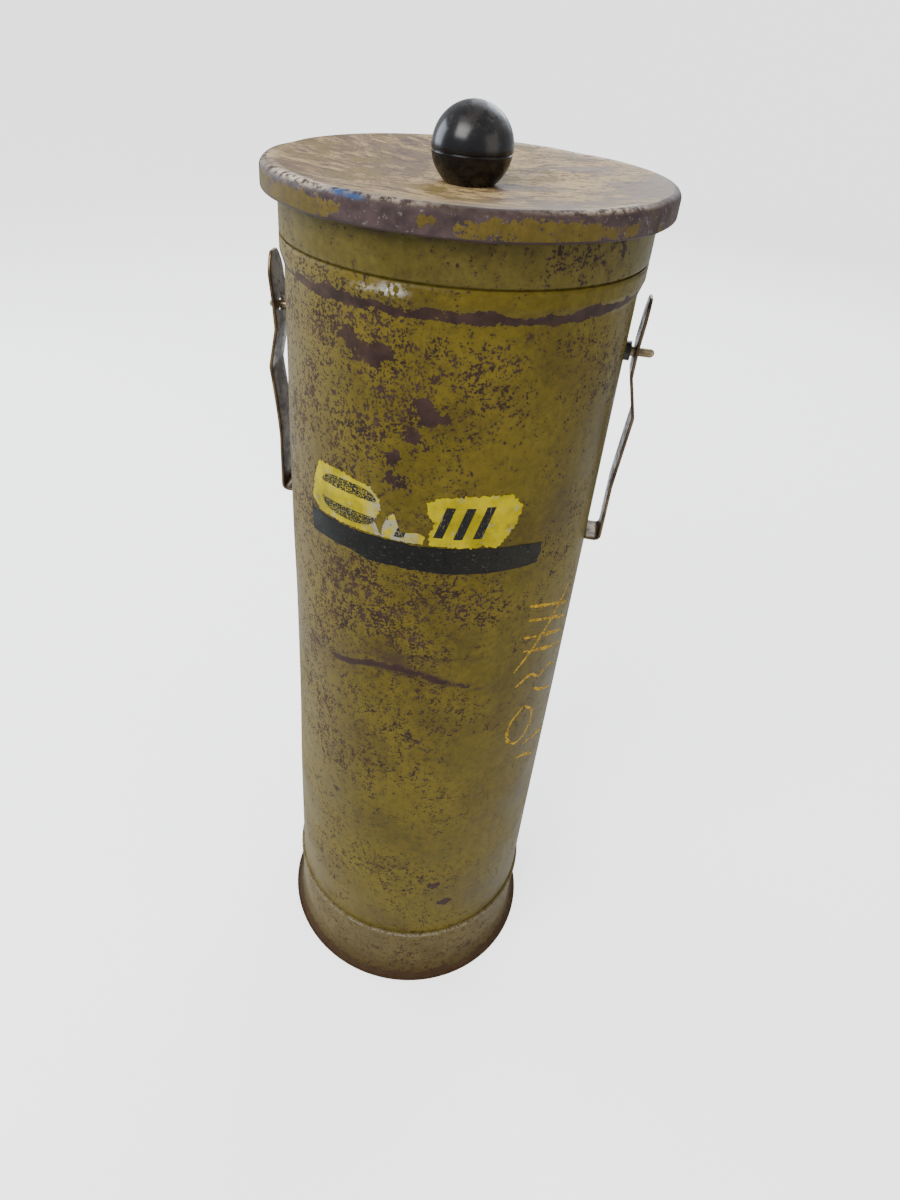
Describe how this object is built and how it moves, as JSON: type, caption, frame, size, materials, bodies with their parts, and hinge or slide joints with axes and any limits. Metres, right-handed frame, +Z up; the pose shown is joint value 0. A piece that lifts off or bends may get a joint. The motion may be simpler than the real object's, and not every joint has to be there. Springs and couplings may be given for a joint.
{
  "type": "electrode storage canister",
  "caption": "Portable heated steel canister for welding electrodes, with lift-off lid, ball knob, flared foot and spring keepers for a strap.",
  "frame": {"origin": "centre of the circle the canister stands on", "axes": "+Z up along the canister's axis, label faces -Y, power inlet faces +Y, strap studs along +X and -X"},
  "size_m": [0.187, 0.178, 0.5375],
  "materials": {
    "olive_paint": "worn olive paint over purple-brown primer",
    "collar_paint": "worn olive paint",
    "sleeve_paint": "worn olive paint, rusty at the foot",
    "surround_paint": "olive paint",
    "lid_paint": "dusty primer with paint left in patches",
    "plate_steel": "dull steel",
    "bare_steel": "plain sheet steel",
    "tube_steel": "steel darkened by heat",
    "screw_steel": "dull zinc",
    "spring_steel": "browned spring steel",
    "stud_steel": "worn plated steel",
    "boss_steel": "blackened steel",
    "brass": "dull",
    "mineral_wool": "loose wool",
    "seal_weave": "woven glass fibre",
    "lead_braid": "glass braid",
    "heater_ceramic": "matte",
    "porcelain": "satin",
    "black_moulding": "moulded, slightly dusty",
    "knob_black": "polished moulding with dust",
    "label_foil": "yellow foil, torn",
    "stripe_foil": "dark foil, scratched"
  },
  "bodies": {
    "canister": {"outer_shell": "olive_paint", "top_collar": "collar_paint", "base_sleeve": "sleeve_paint", "base_plate": "plate_steel", "base_tabs": "bare_steel", "base_screws": "screw_steel", "bulkhead_plate": "bare_steel", "base_insulation": "mineral_wool", "inner_tube": "tube_steel", "inner_floor": "tube_steel", "insulation_sleeve": "mineral_wool", "heater_band": "heater_ceramic", "heater_clamps": "bare_steel", "clamp_screws": "screw_steel", "thermostat": "bare_steel", "terminal_block": "porcelain", "earth_screw": "brass", "heater_leads": "lead_braid", "inlet_leads": "lead_braid", "inlet_surround": "surround_paint", "power_inlet": "black_moulding", "inlet_pins": "brass", "earth_contact": "brass", "inlet_screws": "screw_steel", "strap_studs": "stud_steel", "stud_bosses": "boss_steel", "clip_foot_left": "spring_steel", "clip_foot_right": "spring_steel", "label_stripe": "stripe_foil", "label_panels": "label_foil"},
    "lid": {"lid_pan": "lid_paint", "lid_seal": "seal_weave", "lid_liner": "bare_steel", "lid_insulation": "mineral_wool", "ball_knob": "knob_black", "knob_insert": "brass", "knob_stud": "screw_steel", "lid_washer": "screw_steel", "lid_nut": "screw_steel"},
    "clip_left": {"clip_blade_left": "spring_steel"},
    "clip_right": {"clip_blade_right": "spring_steel"}
  },
  "joints": [
    {"name": "lid_lift", "type": "slide", "parent": "canister", "child": "lid", "axis": [0, 0, 1], "range_m": [0, 0.2]},
    {"name": "clip_right_flex", "type": "hinge", "parent": "canister", "child": "clip_right", "pos_m": [0.0872, 0, 0.344], "axis": [0, 1, 0], "range_deg": [0, 6], "stiffness_Nm_per_rad": 31},
    {"name": "clip_left_flex", "type": "hinge", "parent": "canister", "child": "clip_left", "pos_m": [-0.0872, 0, 0.344], "axis": [0, -1, 0], "range_deg": [0, 6], "stiffness_Nm_per_rad": 31}
  ]
}
